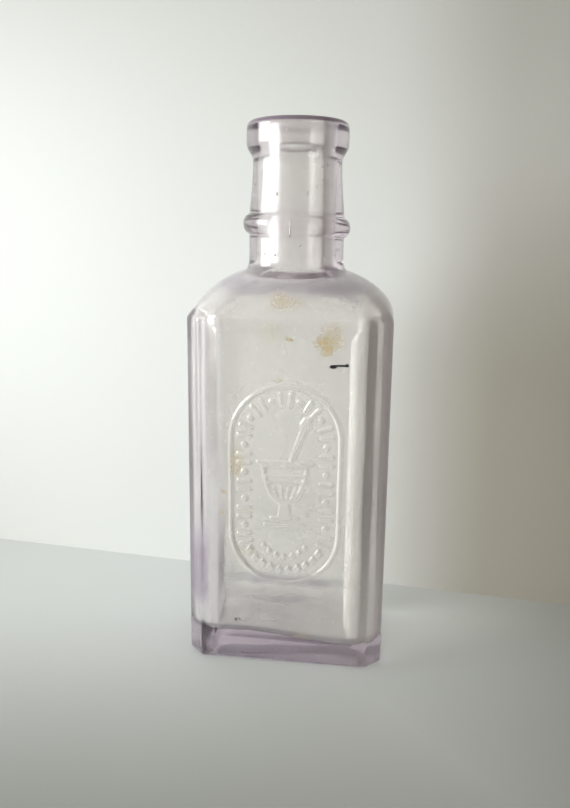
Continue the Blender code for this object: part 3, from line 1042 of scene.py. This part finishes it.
# %% Air in glass
def trapped_air():
    """The skin of a bubble: the index of air over that of glass, a little uneven."""
    air = Recipe("trapped_air")
    surface = air.add("ShaderNodeBsdfPrincipled", IOR=0.66)
    air.feed((1.0, 1.0, 1.0, 1.0), surface.inputs["Base Color"])
    uneven = air.stretch(air.noise(air.place(), 900.0)["Fac"], 0.3, 0.7, 0.0, 0.2)
    air.feed(uneven, surface.inputs["Roughness"])
    air.feed(0.92, surface.inputs["Transmission Weight"])
    return air.finish(surface.outputs["BSDF"])


seed_bubbles.data.materials.append(trapped_air())

# %% [markdown]
# ## Floor and backdrop
#
# Glass shows what stands behind it, so the pale floor and the pale sheet behind the bottle
# matter as much as the glass. Shade is painted on both papers: they grow dim to the right, where
# the bottle's shadow and the fall of the window's light are painted in, and the floor also grows
# dim towards the front. From behind the sheet is see-through, so the bottle can be looked at from
# every side.

# %% Papers with painted shade
NOWHERE = (9.0, 10.0)  # a stretch of metres that the scene never reaches


def paper(name, light, dark, across, along, up, one_sided):
    """Matt paper with painted shade: it goes from light to dark between two places across and
    between two along. Between two heights the painted shade across falls to half."""
    card = Recipe(name)
    x, y, z = card.parts(card.place())
    # painted shadow to the right, weaker higher up, and painted falloff towards the front
    shadow_to_right = card.times(card.stretch(x, *across, 0.0, 1.0), card.stretch(z, *up, 1.0, 0.5))
    shade_to_front = card.stretch(y, *along, 0.0, 1.0)
    painted_shade = card.reckon("MAXIMUM", (shadow_to_right, shade_to_front))
    surface = card.add("ShaderNodeBsdfPrincipled", Roughness=0.9)
    card.feed(card.over(dark, painted_shade, light), surface.inputs["Base Color"])
    card.feed(0.1, surface.inputs["Specular IOR Level"])
    if not one_sided:
        return card.finish(surface.outputs["BSDF"])
    mix = card.add("ShaderNodeMixShader")
    card.feed(card.add("ShaderNodeNewGeometry").outputs["Backfacing"], mix.inputs["Fac"])
    card.feed(surface.outputs["BSDF"], mix.inputs[1])
    card.feed(card.add("ShaderNodeBsdfTransparent").outputs["BSDF"], mix.inputs[2])
    return card.finish(mix.outputs["Shader"])


def sheet(name, corners, material):
    """One flat four-cornered face that belongs to the stage and not to the bottle."""
    thing = new_object(name, corners, [(0, 1, 2, 3)], smooth=False)
    thing.data.materials.append(material)


# %% Pale floor
FLOOR_Z_BELOW = -0.00005  # just under the base, so that the two never share a plane
FLOOR_REACH = 2.5
sheet(
    "floor",
    [(x * FLOOR_REACH, y * FLOOR_REACH, FLOOR_Z_BELOW) for x, y in ((-1, -1), (1, -1), (1, 1), (-1, 1))],
    # painted shade to the right and towards the front
    paper(
        "floor_paper", light=(0.66, 0.69, 0.69, 1.0), dark=(0.31, 0.33, 0.32, 1.0),
        across=(-0.01, 0.12), along=(0.01, -0.14), up=NOWHERE, one_sided=False,
    ),
)
print("floor, metres across:", 2 * FLOOR_REACH)


# %% Pale sheet
def sheet_y(x):
    """Where the sheet meets the floor: it stands close behind and a little askew."""
    return 35.7 * MM - 0.112 * x


SHEET_HALF = 0.5
SHEET_TOP = 0.6
sheet(
    "backdrop",
    [(x * SHEET_HALF, sheet_y(x * SHEET_HALF), z)
     for x, z in ((-1, FLOOR_Z_BELOW), (1, FLOOR_Z_BELOW), (1, SHEET_TOP), (-1, SHEET_TOP))],
    # painted shadow of the bottle, low on the right
    paper(
        "backdrop_paper", light=(0.84, 0.86, 0.85, 1.0), dark=(0.44, 0.43, 0.38, 1.0),
        across=(0.016, 0.056), along=NOWHERE, up=(0.06, 0.125), one_sided=True,
    ),
)
print("the sheet stands", round((sheet_y(0.0) - HALF_DEPTH) / MM, 1), "mm behind the bottle")

# %% [markdown]
# ## Light
#
# A window stands to the left and a little in front, and the rest of the room is pale and warm.
# The window's light is narrowed, so that it grazes the sheet and draws the bright streak down
# the neck without flooding the floor.

# %% Window light and room
WINDOW_SPOT = Vector((-0.30, -0.085, 0.16))
WINDOW_AIM = Vector((-0.03, 0.035, 0.082))
WINDOW_SIZE = 0.17

lamp_data = bpy.data.lights.new("window", "AREA")
lamp_data.size = WINDOW_SIZE
lamp_data.energy = 0.195  # watts
lamp_data.color = (0.96, 1.0, 0.99)
lamp_data.spread = math.radians(64)
window = bpy.data.objects.new("window", lamp_data)
bpy.context.scene.collection.objects.link(window)
window.location = WINDOW_SPOT
window.rotation_euler = (WINDOW_AIM - WINDOW_SPOT).to_track_quat("-Z", "Y").to_euler()

world = bpy.data.worlds.new("room")
world.use_nodes = True
room = world.node_tree.nodes["Background"]
room.inputs["Color"].default_value = (0.52, 0.48, 0.425, 1.0)
room.inputs["Strength"].default_value = 1.0
bpy.context.scene.world = world
bpy.context.scene.view_settings.view_transform = "Standard"
print("window to bottle, metres:", round(WINDOW_SPOT.length, 2))
